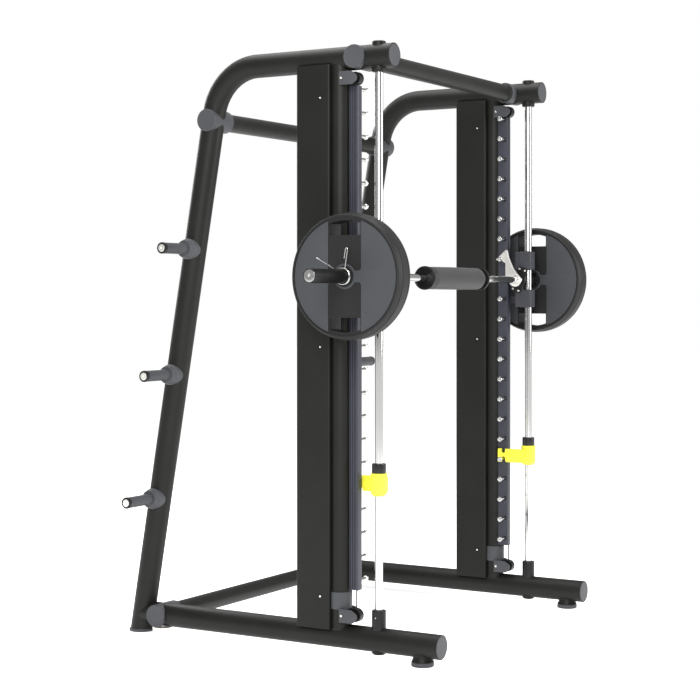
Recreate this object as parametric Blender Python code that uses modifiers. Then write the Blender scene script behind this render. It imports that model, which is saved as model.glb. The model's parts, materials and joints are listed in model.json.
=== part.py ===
"""Smith machine: mirrored tube frames, guide rods, a counterbalanced bar with hooks and plates, and stops.

Metres, +Z up, X to the right, the open front towards -Y.
The origin is on the floor under the middle of the frame.
Each side's X positions are given from its frame plane, positive towards the middle of the machine
unless a comment says outwards.
"""

from math import acos, cos, pi, radians, sin, tan

import bmesh
import bpy
from mathutils import Vector

# Driving dimensions
FRAME_HALF = 0.640  # frame plane to the middle
FRONT_Y = -0.684  # front end of the base rails
ROD_Y = FRONT_Y + 0.250
GAP = 0.0003  # left between touching pieces
TUBE_R = 0.044  # base rails, legs and top tubes
TUBE_WALL = 0.003
END_CAP_T = 0.005  # closed front ends of the rails and top tubes
CROSS_R = 0.034
CROSS_WALL = 0.0025
RAIL_Z = 0.073
TOP_Z = 2.169  # axis of the top tubes
TOP_FRONT_Y = ROD_Y - 0.060
TOP_CORNER_Y = ROD_Y + 0.693  # where the leg and top tube axes would meet
LEG_LEAN = radians(9.87)
BEND_R = 0.200
REAR_FOOT_T = 0.012
ROD_R = 0.015
ROD_TOP = 2.213
ROD_BOTTOM = 0.036
COLLAR_TOP = 2.2235
SOCKET_TOP = 0.181
POST_Y = ROD_Y + 0.160
POST_R = 0.039
POST_WALL = 0.0035
COVER_Y = (ROD_Y + 0.178, ROD_Y + 0.320)
COVER_HALF = 0.051
COVER_Z = (0.100, 2.147)
COVER_WALL = 0.002
RACK_Y = (ROD_Y + 0.086, ROD_Y + 0.141)
RACK_X = (-0.004, 0.0254)
RACK_Z = (0.243, 2.069)
RACK_WALL = 0.003
PEG_COUNT = 22
PEG_PITCH = 0.085
PEG_TOP_Z = 2.059
PEG_Y = ROD_Y + 0.0985
PEG_R = 0.0075
PEG_HEAD_R = 0.0105
PEG_HEAD_X = (0.071, 0.079)
BAR_PEG = 7  # the peg that the hooks rest on, counted from the top
STOP_PEG = 17
BAR_Y = ROD_Y + 0.031
BAR_Z = PEG_TOP_Z - BAR_PEG * PEG_PITCH - 0.0875
BAR_R = 0.0145
SLEEVE_R = 0.025
SLEEVE_X = (0.060, 0.4216)  # outwards from the frame plane
SHOULDER_X = (0.090, 0.1035)
SHOULDER_R = 0.036
PAD_HALF = 0.238
PAD_R = 0.0405
PLATE_X = (0.104, 0.192)  # outwards from the frame plane
PLATE_R = 0.225
PLATE_RECESS_R = 0.2075
PLATE_BAND_HALF = 0.0675
HOOK_X = (0.0600, 0.0695)
CABLE_R = 0.0025
CABLE_Y = ROD_Y + 0.0925
PULLEY_LINE_R = 0.020  # pulley axis to the cable's middle
PULLEY_Z = (0.1535, 2.0945)
BRACKET_X = (0.0395, 0.0445)
BRACKET_Y = (ROD_Y + 0.065, ROD_Y + 0.142)
BRACKET_HALF = 0.0245
BRACKET_NOSE_X = 0.014  # the nose ends this far beyond the frame plane, towards +X
BRACKET_SHORT_Y = ROD_Y + 0.096  # front of the +X cheek, which is the shorter one
WEIGHT_Z = (0.850, 1.450)
STOP_Z = PEG_TOP_Z - STOP_PEG * PEG_PITCH
HORN_Z = (1.487, 1.006, 0.525)
HORN_L = 0.215
FOOT_Y = ROD_Y - 0.178
HUB_R = 0.0425
HUB_CORE_R = 0.018
HUB_OUT = 0.052  # hub face, outwards from the frame plane
HUB_IN = 0.073  # inner end of the hub, where the cross tube starts
HUBS = {  # axis of each cross tube and of the hubs at its ends
    "top_front": (ROD_Y + 0.077, TOP_Z),
    "rear_upper": (ROD_Y + 0.724, 1.974),
    "rear_lower": (ROD_Y + 0.966, RAIL_Z),
}
ROUND = 12  # sides of the round pieces

for old in list(bpy.data.objects):
    bpy.data.objects.remove(old)

PARTS = bpy.data.collections.new("smith_machine")
CUTTERS = bpy.data.collections.new("cutters")
bpy.context.scene.collection.children.link(PARTS)
bpy.context.scene.collection.children.link(CUTTERS)


def paint(name, colour, roughness, metallic=0.0):
    material = bpy.data.materials.new(name)
    material.use_nodes = True
    shader = material.node_tree.nodes["Principled BSDF"]
    shader.inputs["Base Color"].default_value = (*colour, 1.0)
    shader.inputs["Roughness"].default_value = roughness
    shader.inputs["Metallic"].default_value = metallic
    return material


BLACK = paint("black_powder_coat", (0.017, 0.017, 0.015), 0.5)
SLATE = paint("slate_plastic", (0.070, 0.075, 0.088), 0.5)
NAVY = paint("rack_steel", (0.045, 0.048, 0.058), 0.45)
CHROME = paint("chrome", (0.80, 0.80, 0.79), 0.12, 1.0)
STEEL = paint("plated_steel", (0.72, 0.71, 0.68), 0.35, 1.0)
YELLOW = paint("yellow_coat", (0.90, 0.88, 0.05), 0.4)
RUBBER = paint("black_rubber", (0.020, 0.020, 0.021), 0.7)
FOAM = paint("pad_foam", (0.060, 0.060, 0.062), 0.6)
CAST = paint("weight_stack_iron", (0.050, 0.050, 0.052), 0.6)


def place(name, mesh, material, at=(0, 0, 0)):
    piece = bpy.data.objects.new(name, mesh)
    piece.location = at
    PARTS.objects.link(piece)
    if material:
        mesh.materials.append(material)
    return piece


def finish_bmesh(name, made, material, at):
    mesh = bpy.data.meshes.new(name)
    bmesh.ops.recalc_face_normals(made, faces=made.faces)
    made.to_mesh(mesh)
    made.free()
    return place(name, mesh, material, at)


def box(name, low, high, material=None):
    low, high = Vector(low), Vector(high)
    made = bmesh.new()
    bmesh.ops.create_cube(made, size=1.0)
    bmesh.ops.scale(made, vec=high - low, verts=made.verts)
    return finish_bmesh(name, made, material, (low + high) / 2)


def turn_to(piece, axis):
    piece.rotation_euler = Vector(axis).to_track_quat("Z", "Y").to_euler()


def cylinder(name, radius, start, end, material=None, sides=ROUND):
    start, end = Vector(start), Vector(end)
    made = bmesh.new()
    bmesh.ops.create_cone(
        made,
        cap_ends=True,
        segments=sides,
        radius1=radius,
        radius2=radius,
        depth=(end - start).length,
    )
    piece = finish_bmesh(name, made, material, (start + end) / 2)
    turn_to(piece, end - start)
    smooth(piece)
    return piece


def clear_of(radius, sides=ROUND):
    """The radius of a faceted hole whose flats stay a gap outside a round piece of this radius."""
    return (radius + GAP) / cos(pi / sides)


def smooth(piece):
    piece.data.shade_smooth()
    piece.data.set_sharp_from_angle(angle=radians(35))


def turned(name, profile, at, axis, material, closed=False, sides=ROUND):
    """profile holds (radius, height) points down the outer side, with height along axis from the point at."""
    mesh = bpy.data.meshes.new(name)
    edges = [(i, i + 1) for i in range(len(profile) - 1)]
    if closed:
        edges.append((len(profile) - 1, 0))
    mesh.from_pydata([(r, 0, h) for r, h in profile], edges, [])
    piece = place(name, mesh, material, at)
    turn_to(piece, axis)
    screw = piece.modifiers.new("turned", "SCREW")
    screw.steps = screw.render_steps = sides
    screw.use_merge_vertices = True
    screw.merge_threshold = 0.0001
    return piece


def as_mesh(curve):
    """The curve object as a closed mesh object of the same name and material."""
    graph = bpy.context.evaluated_depsgraph_get()
    mesh = bpy.data.meshes.new_from_object(curve.evaluated_get(graph))
    name, matrix = curve.name, curve.matrix_world.copy()
    bpy.data.objects.remove(curve)
    made = bmesh.new()
    made.from_mesh(mesh)
    bmesh.ops.remove_doubles(made, verts=made.verts, dist=1e-5)
    bmesh.ops.recalc_face_normals(made, faces=made.faces)
    made.to_mesh(mesh)
    made.free()
    piece = place(name, mesh, None)
    piece.matrix_world = matrix
    return piece


def tube(name, points, radius, material, detail=4, cyclic=False):
    curve = bpy.data.curves.new(name, "CURVE")
    curve.dimensions = "3D"
    curve.bevel_depth = radius
    curve.bevel_resolution = detail
    curve.use_fill_caps = not cyclic
    spline = curve.splines.new("POLY")
    spline.points.add(len(points) - 1)
    for point, place_at in zip(spline.points, points):
        point.co = (*place_at, 1.0)
    spline.use_cyclic_u = cyclic
    spline.use_smooth = True
    if material:
        curve.materials.append(material)
    piece = bpy.data.objects.new(name, curve)
    PARTS.objects.link(piece)
    bpy.context.view_layer.update()
    piece = as_mesh(piece)
    smooth(piece)
    return piece


def flat(name, outlines, x_low, x_high, material=None):
    """A plate between two X positions, from outlines of (y, z) points. Later outlines are holes."""
    curve = bpy.data.curves.new(name, "CURVE")
    curve.dimensions = "2D"
    curve.fill_mode = "BOTH"
    curve.extrude = (x_high - x_low) / 2
    for outline in outlines:
        spline = curve.splines.new("POLY")
        spline.points.add(len(outline) - 1)
        for point, (y, z) in zip(spline.points, outline):
            point.co = (y, z, 0.0, 1.0)
        spline.use_cyclic_u = True
    if material:
        curve.materials.append(material)
    piece = bpy.data.objects.new(name, curve)
    # the outline's own x and y become the machine's y and z
    piece.rotation_euler = (radians(90), 0, radians(90))
    piece.location = ((x_low + x_high) / 2, 0, 0)
    PARTS.objects.link(piece)
    bpy.context.view_layer.update()
    return as_mesh(piece)


def arc(centre, radius, start, end, steps):
    """Points (y, z) on an arc, angles in degrees from +Y towards +Z."""
    angles = [radians(start + (end - start) * i / steps) for i in range(steps + 1)]
    return [(centre[0] + radius * cos(a), centre[1] + radius * sin(a)) for a in angles]


def helper(piece):
    """Keeps a cutter, or a shape that is joined into another, out of the parts."""
    PARTS.objects.unlink(piece)
    CUTTERS.objects.link(piece)
    piece.hide_render = True
    piece.display_type = "WIRE"
    return piece


def combine(piece, other, operation):
    boolean = piece.modifiers.new(other.name, "BOOLEAN")
    boolean.operation = operation
    boolean.object = helper(other)


def cut(piece, *others):
    for other in others:
        combine(piece, other, "DIFFERENCE")


def join(piece, *others):
    for other in others:
        combine(piece, other, "UNION")


def leg_y(z):
    """The leg's axis at a height."""
    return TOP_CORNER_Y + (TOP_Z - z) * tan(LEG_LEAN)


def side_axis(plane, front_y, foot_z):
    """The axis of one frame's bent tube: up the leg, round the bend and forward to the front end."""
    turn = pi / 2 - LEG_LEAN
    reach = BEND_R * tan(turn / 2)
    centre_y, centre_z = TOP_CORNER_Y - reach, TOP_Z - BEND_R
    steps = 9
    bend = [
        (plane, centre_y + BEND_R * cos(a), centre_z + BEND_R * sin(a))
        for a in (LEG_LEAN + turn * i / steps for i in range(steps + 1))
    ]
    return [(plane, leg_y(foot_z), foot_z), *bend, (plane, front_y, TOP_Z)]


def tube_cutter(name, plane):
    """The straight part of the leg, a gap wider than the tube."""
    low = (plane, leg_y(-0.05), -0.05)
    high = (plane, leg_y(1.9), 1.9)
    return cylinder(name, clear_of(TUBE_R), low, high)


def make_frame_tube(side, tag):
    plane = side * FRAME_HALF
    piece = tube("frame_tube_" + tag, side_axis(plane, TOP_FRONT_Y, -0.03), TUBE_R, BLACK)
    cut(piece, box("leg_end_cut_" + tag, (plane - 0.1, leg_y(0) - 0.2, -0.2),
                   (plane + 0.1, leg_y(0) + 0.2, REAR_FOOT_T + GAP)))
    join(
        piece,
        cylinder("top_collar_" + tag, 0.0245, (plane, ROD_Y, TOP_Z), (plane, ROD_Y, COLLAR_TOP)),
        cylinder("top_flange_" + tag, 0.0265, (plane, ROD_Y, TOP_Z), (plane, ROD_Y, TOP_Z - 0.057)),
    )
    inside = side_axis(plane, TOP_FRONT_Y + END_CAP_T, -0.05)
    cut(
        piece,
        tube("frame_tube_inside_" + tag, inside, TUBE_R - TUBE_WALL, None),
        cylinder("top_rod_bore_" + tag, clear_of(ROD_R), (plane, ROD_Y, 1.9), (plane, ROD_Y, ROD_TOP + GAP)),
    )
    for where in ("top_front", "rear_upper"):
        cut(piece, hub_bore(where, tag, plane))
    return piece


def hub_bore(where, tag, plane):
    y, z = HUBS[where]
    reach = 0.09
    return cylinder(f"bore_{where}_{tag}", clear_of(HUB_CORE_R), (plane - reach, y, z), (plane + reach, y, z))


def make_base_rail(side, tag):
    plane = side * FRAME_HALF
    rear_y = leg_y(RAIL_Z)
    piece = cylinder("base_rail_" + tag, TUBE_R, (plane, FRONT_Y, RAIL_Z), (plane, rear_y, RAIL_Z), BLACK)
    join(
        piece,
        cylinder("rod_flange_" + tag, 0.0265, (plane, ROD_Y, 0.021), (plane, ROD_Y, RAIL_Z)),
    )
    cut(
        piece,
        tube_cutter("rail_leg_cut_" + tag, plane),
        cylinder("rail_inside_" + tag, TUBE_R - TUBE_WALL, (plane, FRONT_Y + END_CAP_T, RAIL_Z),
                 (plane, rear_y, RAIL_Z)),
        cylinder("bottom_rod_bore_" + tag, clear_of(ROD_R), (plane, ROD_Y, ROD_BOTTOM - GAP),
                 (plane, ROD_Y, SOCKET_TOP)),
        hub_bore("rear_lower", tag, plane),
    )
    return piece


def make_hub(where, side, tag):
    """A spool through the side tube: the outer cap, a core and the collar that the cross tube meets."""
    plane = side * FRAME_HALF
    y, z = HUBS[where]
    piece = turned(
        f"hub_{where}_{tag}",
        [(0, HUB_OUT), (HUB_R - 0.004, HUB_OUT), (HUB_R, HUB_OUT - 0.004), (HUB_R, 0.004 - HUB_IN),
         (HUB_R - 0.004, -HUB_IN), (0, -HUB_IN)],
        (plane, y, z), (side, 0, 0), SLATE,
    )
    spare = 0.10
    if where == "rear_upper":
        along = Vector((0, -tan(LEG_LEAN), 1)).normalized() * spare
    else:
        along = Vector((0, spare, 0))
    middle = Vector((plane, leg_y(z) if where == "rear_upper" else y, z))
    clear = cylinder(f"clear_{where}_{tag}", clear_of(TUBE_R), middle - along, middle + along)
    core = cylinder(f"core_{where}_{tag}", HUB_CORE_R, (plane - side * (HUB_IN - 0.006), y, z),
                    (plane + side * (HUB_OUT - 0.006), y, z))
    cut(piece, clear)
    if where == "rear_lower":
        cut(piece, tube_cutter(f"hub_leg_cut_{tag}", plane))
    join(piece, core)
    return piece


def make_cross_tube(where):
    y, z = HUBS[where]
    reach = FRAME_HALF - HUB_IN - GAP
    ring_r, inside_r = CROSS_R + 0.004, CROSS_R - CROSS_WALL
    half = [(inside_r, reach), (ring_r, reach), (ring_r, reach - 0.008), (CROSS_R, reach - 0.010)]
    profile = half + [(r, -x) for r, x in reversed(half)]
    return turned("cross_tube_" + where, profile, (0, y, z), (1, 0, 0), BLACK, closed=True)


def rail_clear(name, plane, z):
    """A run of the rail or of the top tube, a gap wider."""
    return cylinder(name, clear_of(TUBE_R), (plane, ROD_Y - 0.3, z), (plane, ROD_Y + 0.45, z))


def make_cover(side, tag):
    """The sheet-steel box behind the post, open at both ends where it straddles the tubes."""
    plane = side * FRAME_HALF
    low = Vector((plane - COVER_HALF, COVER_Y[0], COVER_Z[0]))
    high = Vector((plane + COVER_HALF, COVER_Y[1], COVER_Z[1]))
    wall = Vector((COVER_WALL, COVER_WALL, -0.05))
    piece = box("column_cover_" + tag, low, high, BLACK)
    cut(
        piece,
        box("cover_inside_" + tag, low + wall, high - wall),
        rail_clear("cover_rail_cut_" + tag, plane, RAIL_Z),
        rail_clear("cover_top_cut_" + tag, plane, TOP_Z),
        cylinder("cover_post_cut_" + tag, clear_of(POST_R), (plane, POST_Y, 0), (plane, POST_Y, 2.3)),
    )
    return piece


def make_post(side, tag):
    """The round column tube. The counterweight runs inside it, and a window at each end lets the cable in."""
    plane = side * FRAME_HALF
    piece = cylinder("column_post_" + tag, POST_R, (plane, POST_Y, RAIL_Z), (plane, POST_Y, TOP_Z), BLACK)
    cut(
        piece,
        rail_clear("post_rail_cut_" + tag, plane, RAIL_Z),
        rail_clear("post_top_cut_" + tag, plane, TOP_Z),
        cylinder("post_inside_" + tag, POST_R - POST_WALL, (plane, POST_Y, 0.0), (plane, POST_Y, 2.3)),
    )
    for i, z in enumerate(PULLEY_Z):
        cut(piece, box(f"post_window_{tag}_{i}", (plane - 0.011, POST_Y - 0.06, z - 0.028),
                       (plane + 0.011, POST_Y - 0.010, z + 0.028)))
    return piece


def side_span(side, near, far):
    """Low and high X of a span given from the frame plane, positive towards the middle."""
    ends = sorted((side * (FRAME_HALF - near), side * (FRAME_HALF - far)))
    return ends[0], ends[1]


def make_rack(side, tag):
    """A channel, open outwards, with the row of headed pegs on its inner face."""
    low_x, high_x = side_span(side, *RACK_X)
    piece = box("peg_rack_" + tag, (low_x, RACK_Y[0], RACK_Z[0]), (high_x, RACK_Y[1], RACK_Z[1]), NAVY)
    open_low, open_high = side_span(side, RACK_X[0] - 0.02, RACK_X[1] - RACK_WALL)
    cut(
        piece,
        box("rack_inside_" + tag, (open_low, RACK_Y[0] + RACK_WALL, RACK_Z[0] - 0.05),
            (open_high, RACK_Y[1] - RACK_WALL, RACK_Z[1] + 0.05)),
        cylinder("rack_post_cut_" + tag, clear_of(POST_R), (side * FRAME_HALF, POST_Y, 0),
                 (side * FRAME_HALF, POST_Y, 2.3)),
    )
    for i in range(PEG_COUNT):
        z = PEG_TOP_Z - i * PEG_PITCH
        join(piece, turned(
            f"peg_{tag}_{i}",
            [(0, PEG_HEAD_X[1]), (PEG_HEAD_R, PEG_HEAD_X[1]), (PEG_HEAD_R, PEG_HEAD_X[0]),
             (PEG_R, PEG_HEAD_X[0]), (PEG_R, RACK_X[1] - 0.0015), (0, RACK_X[1] - 0.0015)],
            (side * FRAME_HALF, PEG_Y, z), (-side, 0, 0), CHROME, sides=8,
        ))
    return piece


def make_guide_rod(side, tag):
    plane = side * FRAME_HALF
    return cylinder("guide_rod_" + tag, ROD_R, (plane, ROD_Y, ROD_BOTTOM), (plane, ROD_Y, ROD_TOP), CHROME)


def make_socket(side, tag):
    """The sleeve that locks the guide rod's foot on top of the rail."""
    plane = side * FRAME_HALF
    piece = turned(
        "rod_socket_" + tag,
        [(0.025, SOCKET_TOP - 0.002), (0.025, RAIL_Z), (clear_of(ROD_R), RAIL_Z),
         (clear_of(ROD_R), SOCKET_TOP), (0.023, SOCKET_TOP)],
        (plane, ROD_Y, 0), (0, 0, 1), BLACK, closed=True,
    )
    cut(piece, rail_clear("socket_rail_cut_" + tag, plane, RAIL_Z))
    return piece


def make_front_foot(side, tag):
    plane = side * FRAME_HALF
    piece = turned(
        "front_foot_" + tag,
        [(0, 0.060), (0.026, 0.060), (0.026, 0.020), (0.035, 0.016), (0.039, 0.013), (0.039, 0.003),
         (0.036, 0), (0, 0)],
        (plane, FOOT_Y, 0), (0, 0, 1), SLATE,
    )
    cut(piece, rail_clear("front_foot_cut_" + tag, plane, RAIL_Z))
    return piece


def make_rear_foot(side, tag):
    return turned(
        "rear_foot_" + tag,
        [(0, REAR_FOOT_T), (0.046, REAR_FOOT_T), (0.0485, REAR_FOOT_T - 0.003), (0.0485, 0.002), (0.0465, 0),
         (0, 0)],
        (side * FRAME_HALF, leg_y(0) - 0.00088, 0), (0, 0, 1), SLATE, sides=32,
    )


def make_horn(side, tag, number, z):
    """A storage horn for spare plates, on a stepped collar that fits round the leg."""
    y = leg_y(z)
    collar_end, step = 0.074, 0.060
    piece = turned(
        f"plate_horn_{tag}_{number}",
        [(0, HORN_L), (0.0185, HORN_L), (0.0215, HORN_L - 0.003), (0.0215, collar_end), (0.030, collar_end),
         (0.034, collar_end - 0.004), (0.034, step), (0.040, step - 0.006), (0.040, 0.020), (0, 0.020)],
        (side * FRAME_HALF, y, z), (side, 0, 0), SLATE,
    )
    below, above = z - 0.15, z + 0.15
    cut(piece, cylinder(f"horn_leg_cut_{tag}_{number}", clear_of(TUBE_R),
                        (side * FRAME_HALF, leg_y(below), below), (side * FRAME_HALF, leg_y(above), above)))
    return piece


def make_bracket(side, tag, level, z):
    """Two cheeks that clasp the post, joined by the pulley's axle. The longer one, at -X, carries a nose."""
    plane = side * FRAME_HALF
    nose_r = 0.020
    nose_y = BRACKET_Y[0] + nose_r
    outline = [(BRACKET_Y[1], z - BRACKET_HALF), (BRACKET_Y[1], z + BRACKET_HALF)]
    outline += arc((nose_y, z + BRACKET_HALF - nose_r), nose_r, 90, 180, 5)
    outline += arc((nose_y, z - BRACKET_HALF + nose_r), nose_r, 180, 270, 5)
    outer_x = BRACKET_X[1]
    piece = flat(f"pulley_bracket_{level}_{tag}", [outline], plane - outer_x, plane + outer_x, SLATE)
    cut(piece, box(f"bracket_inside_{level}_{tag}", (plane - BRACKET_X[0], BRACKET_Y[0] + 0.005, z - 0.05),
                   (plane + BRACKET_X[0], BRACKET_Y[1] + 0.05, z + 0.05)))
    cut(piece, box(f"bracket_front_{level}_{tag}", (plane + BRACKET_NOSE_X, BRACKET_Y[0] - 0.01, z - 0.05),
                   (plane + outer_x + 0.01, BRACKET_SHORT_Y, z + 0.05)))
    axle_y = CABLE_Y + PULLEY_LINE_R
    join(piece, cylinder(f"axle_{level}_{tag}", 0.0037, (plane - BRACKET_X[0] - 0.002, axle_y, z),
                         (plane + BRACKET_X[0] + 0.002, axle_y, z), sides=12))
    return piece


def make_pulley(side, tag, level, z):
    groove_r = PULLEY_LINE_R - CABLE_R - GAP
    half, rim_r, bore_r = 0.008, 0.0240, clear_of(0.0037)
    return turned(
        f"pulley_{level}_{tag}",
        [(rim_r, half), (rim_r, 0.005), (groove_r, 0.003), (groove_r, -0.003), (rim_r, -0.005),
         (rim_r, -half), (bore_r, -half), (bore_r, half)],
        (side * FRAME_HALF, CABLE_Y + PULLEY_LINE_R, z), (1, 0, 0), BLACK, closed=True,
    )


def make_cable(side, tag):
    plane = side * FRAME_HALF
    axle_y = CABLE_Y + PULLEY_LINE_R
    steps = 8
    over = [(plane, y, z) for y, z in arc((axle_y, PULLEY_Z[1]), PULLEY_LINE_R, 180, 0, steps)]
    under = [(plane, y, z) for y, z in arc((axle_y, PULLEY_Z[0]), PULLEY_LINE_R, 0, -180, steps)]
    return tube("counter_cable_" + tag, over + under, CABLE_R, BLACK, detail=2, cyclic=True)


def make_counterweight(side, tag):
    """A steel bar inside the post, clamped to the back run of the cable."""
    radius = 0.026
    centre_y = CABLE_Y + 2 * PULLEY_LINE_R + CABLE_R + 0.001 + radius
    return turned(
        "counterweight_" + tag,
        [(0, WEIGHT_Z[1]), (radius - 0.003, WEIGHT_Z[1]), (radius, WEIGHT_Z[1] - 0.003),
         (radius, WEIGHT_Z[0] + 0.003), (radius - 0.003, WEIGHT_Z[0]), (0, WEIGHT_Z[0])],
        (side * FRAME_HALF, centre_y, 0), (0, 0, 1), CAST,
    )


def make_carriage(side, tag):
    """Two bearing blocks on the guide rod, a web behind it that carries the bar, and the arm to the cable."""
    plane = side * FRAME_HALF
    half, front_y, back_y = 0.022, ROD_Y - 0.021, ROD_Y + 0.033
    web_y = (ROD_Y + 0.0164, ROD_Y + 0.052)
    top, bottom, inner = 0.1195, -0.1165, 0.042
    block = half + 0.001
    piece = box("carriage_" + tag, (plane - half, web_y[0], BAR_Z + bottom),
                (plane + half, web_y[1], BAR_Z + top), SLATE)
    join(
        piece,
        box("upper_block_" + tag, (plane - block, front_y, BAR_Z + inner),
            (plane + block, back_y, BAR_Z + top)),
        box("lower_block_" + tag, (plane - block, front_y, BAR_Z + bottom),
            (plane + block, back_y, BAR_Z - inner)),
        cylinder("bearing_" + tag, 0.029, (plane - 0.030, BAR_Y, BAR_Z), (plane + 0.030, BAR_Y, BAR_Z)),
    )
    arm_x = side_span(side, -0.018, -0.008)
    finger_x = side_span(side, -0.018, -CABLE_R - GAP)
    arm_z = (BAR_Z - 0.100, BAR_Z - 0.070)
    join(
        piece,
        box("cable_arm_" + tag, (arm_x[0], back_y, arm_z[0]), (arm_x[1], CABLE_Y + 0.006, arm_z[1])),
        box("cable_clamp_" + tag, (finger_x[0], CABLE_Y - 0.0028, arm_z[0] + 0.004),
            (finger_x[1], CABLE_Y + 0.004, arm_z[1] - 0.004)),
    )
    cut(
        piece,
        cylinder("carriage_bore_" + tag, clear_of(ROD_R), (plane, ROD_Y, BAR_Z - 0.2),
                 (plane, ROD_Y, BAR_Z + 0.2)),
        cylinder("carriage_bar_bore_" + tag, clear_of(BAR_R), (plane - 0.1, BAR_Y, BAR_Z),
                 (plane + 0.1, BAR_Y, BAR_Z)),
    )
    return piece


def make_bar():
    """The bar with its two sleeves and the shoulders that the plates rest against."""
    half = [
        (SLEEVE_R - 0.002, SLEEVE_X[1]), (SLEEVE_R, SLEEVE_X[1] - 0.002), (SLEEVE_R, SHOULDER_X[1]),
        (SHOULDER_R, SHOULDER_X[1]), (SHOULDER_R, SHOULDER_X[0]), (SLEEVE_R, SHOULDER_X[0]),
        (SLEEVE_R, SLEEVE_X[0]), (BAR_R, SLEEVE_X[0]),
    ]
    right = [(r, FRAME_HALF + x) for r, x in half]
    left = [(r, -x) for r, x in reversed(right)]
    ends = FRAME_HALF + SLEEVE_X[1]
    return turned("bar", [(0, ends), *right, *left, (0, -ends)], (0, BAR_Y, BAR_Z), (1, 0, 0), CHROME)


def make_pad():
    ring_r, ring_t = PAD_R + 0.0035, 0.012
    outer = [
        (clear_of(BAR_R), PAD_HALF), (PAD_R - 0.006, PAD_HALF), (ring_r, PAD_HALF - 0.006),
        (ring_r, PAD_HALF - ring_t), (PAD_R, PAD_HALF - ring_t - 0.001),
    ]
    profile = outer + [(r, -x) for r, x in reversed(outer)]
    return turned("squat_pad", profile, (0, BAR_Y, BAR_Z), (1, 0, 0), FOAM, closed=True)


def make_hook(side, tag):
    """A flat hook on the bar whose beak reaches over a peg and lifts off as the bar is turned forward."""
    def at(back, up):
        return BAR_Y + back, BAR_Z + up

    peg_back, peg_up, seat_r = PEG_Y - BAR_Y, 0.0875, PEG_R + GAP
    outline = [at(0.0885, 0.0855), at(0.0430, 0.1265), at(0.0395, 0.1280), at(0.0360, 0.1255)]
    outline += [at(0.0290, 0.0950), at(0.0036, 0.0395), at(-0.0290, 0.0040), at(-0.0310, 0.0)]
    outline += [at(-0.0285, -0.0050)]
    outline += arc((BAR_Y, BAR_Z), 0.029, -130, -10, 8)
    outline += [at(0.0400, 0.0080), at(0.0438, 0.0157), at(0.0438, 0.0700), at(peg_back - seat_r, 0.0800)]
    outline += arc((BAR_Y + peg_back, BAR_Z + peg_up), seat_r, 180, 35, 6)
    outline += [at(0.0850, 0.0830)]
    hole = arc((BAR_Y, BAR_Z), clear_of(BAR_R), 0, -360, ROUND)[:-1]
    low_x, high_x = side_span(side, *HOOK_X)
    return flat("hook_" + tag, [outline, hole], low_x, high_x, STEEL)


def make_plate(side, tag):
    """A round weight plate with a raised rim, recessed faces and two grip windows."""
    thick = PLATE_X[1] - PLATE_X[0]
    half, recess, rim = thick / 2, 0.004, 0.010
    hub_r, sides = 0.040, 32
    bore_r = clear_of(SLEEVE_R, sides)
    face = [
        (bore_r, half - 0.002), (hub_r, half - 0.002), (hub_r + 0.002, half - recess),
        (PLATE_RECESS_R, half - recess), (PLATE_RECESS_R + 0.003, half), (PLATE_R - rim, half),
        (PLATE_R - 0.003, half - 0.003), (PLATE_R, half - rim),
    ]
    profile = face + [(r, -h) for r, h in reversed(face)]
    middle_x = side * (FRAME_HALF + PLATE_X[0] + half)
    piece = turned("weight_plate_" + tag, profile, (middle_x, BAR_Y, BAR_Z), (1, 0, 0), RUBBER, closed=True,
                   sides=sides)
    window_r, window_low, window_half = 0.197, 0.145, PLATE_BAND_HALF - 0.004
    spread = 90 - acos(window_half / window_r) * 180 / pi
    for up in (1, -1):
        top = arc((0, 0), window_r, 90 - spread, 90 + spread, 6)
        window = [(window_half, window_low), *top, (-window_half, window_low)]
        outline = [(BAR_Y + y, BAR_Z + up * z) for y, z in window]
        cut(piece, flat(f"window_{tag}_{up}", [outline], middle_x - thick, middle_x + thick))
    return piece


def make_clip(side, tag):
    """The wire collar that grips the sleeve against the plate: a coil with two finger levers."""
    wire_r, coil_r, turns, per_turn, pitch = 0.0021, SLEEVE_R + 0.0021 + 0.0010, 2.15, 12, 0.0056
    start_x = side * (FRAME_HALF + PLATE_X[1] + wire_r + 0.0006)
    count = round(turns * per_turn)

    def on_coil(step):
        angle = radians(100) - 2 * pi * step / per_turn
        return (
            start_x + side * pitch * step / per_turn,
            BAR_Y + coil_r * cos(angle),
            BAR_Z + coil_r * sin(angle),
        )

    def lever(base, lean, length, steps=3):
        away = Vector((0, base[1] - BAR_Y, base[2] - BAR_Z)).normalized()
        direction = (away + Vector((side * lean, 0, 0))).normalized()
        return [tuple(Vector(base) + direction * length * (i + 1) / steps) for i in range(steps)]

    points = [on_coil(i) for i in range(count + 1)]
    first = lever(points[0], 0.02, 0.069)
    last = lever(points[-1], 1.2, 0.0915)
    return tube("spring_clip_" + tag, first[::-1] + points + last, wire_r, STEEL, detail=1)


def make_stop_bumper(side, tag):
    """The rubber bumper on top of the stop."""
    plane = side * FRAME_HALF
    low, high, radius, bore = STOP_Z + 0.058 + GAP, STOP_Z + 0.093, 0.0257, clear_of(ROD_R)
    return turned(
        "stop_bumper_" + tag,
        [(radius, high - 0.002), (radius, low), (bore, low), (bore, high), (radius - 0.002, high)],
        (plane, ROD_Y, 0), (0, 0, 1), RUBBER, closed=True,
    )


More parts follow.
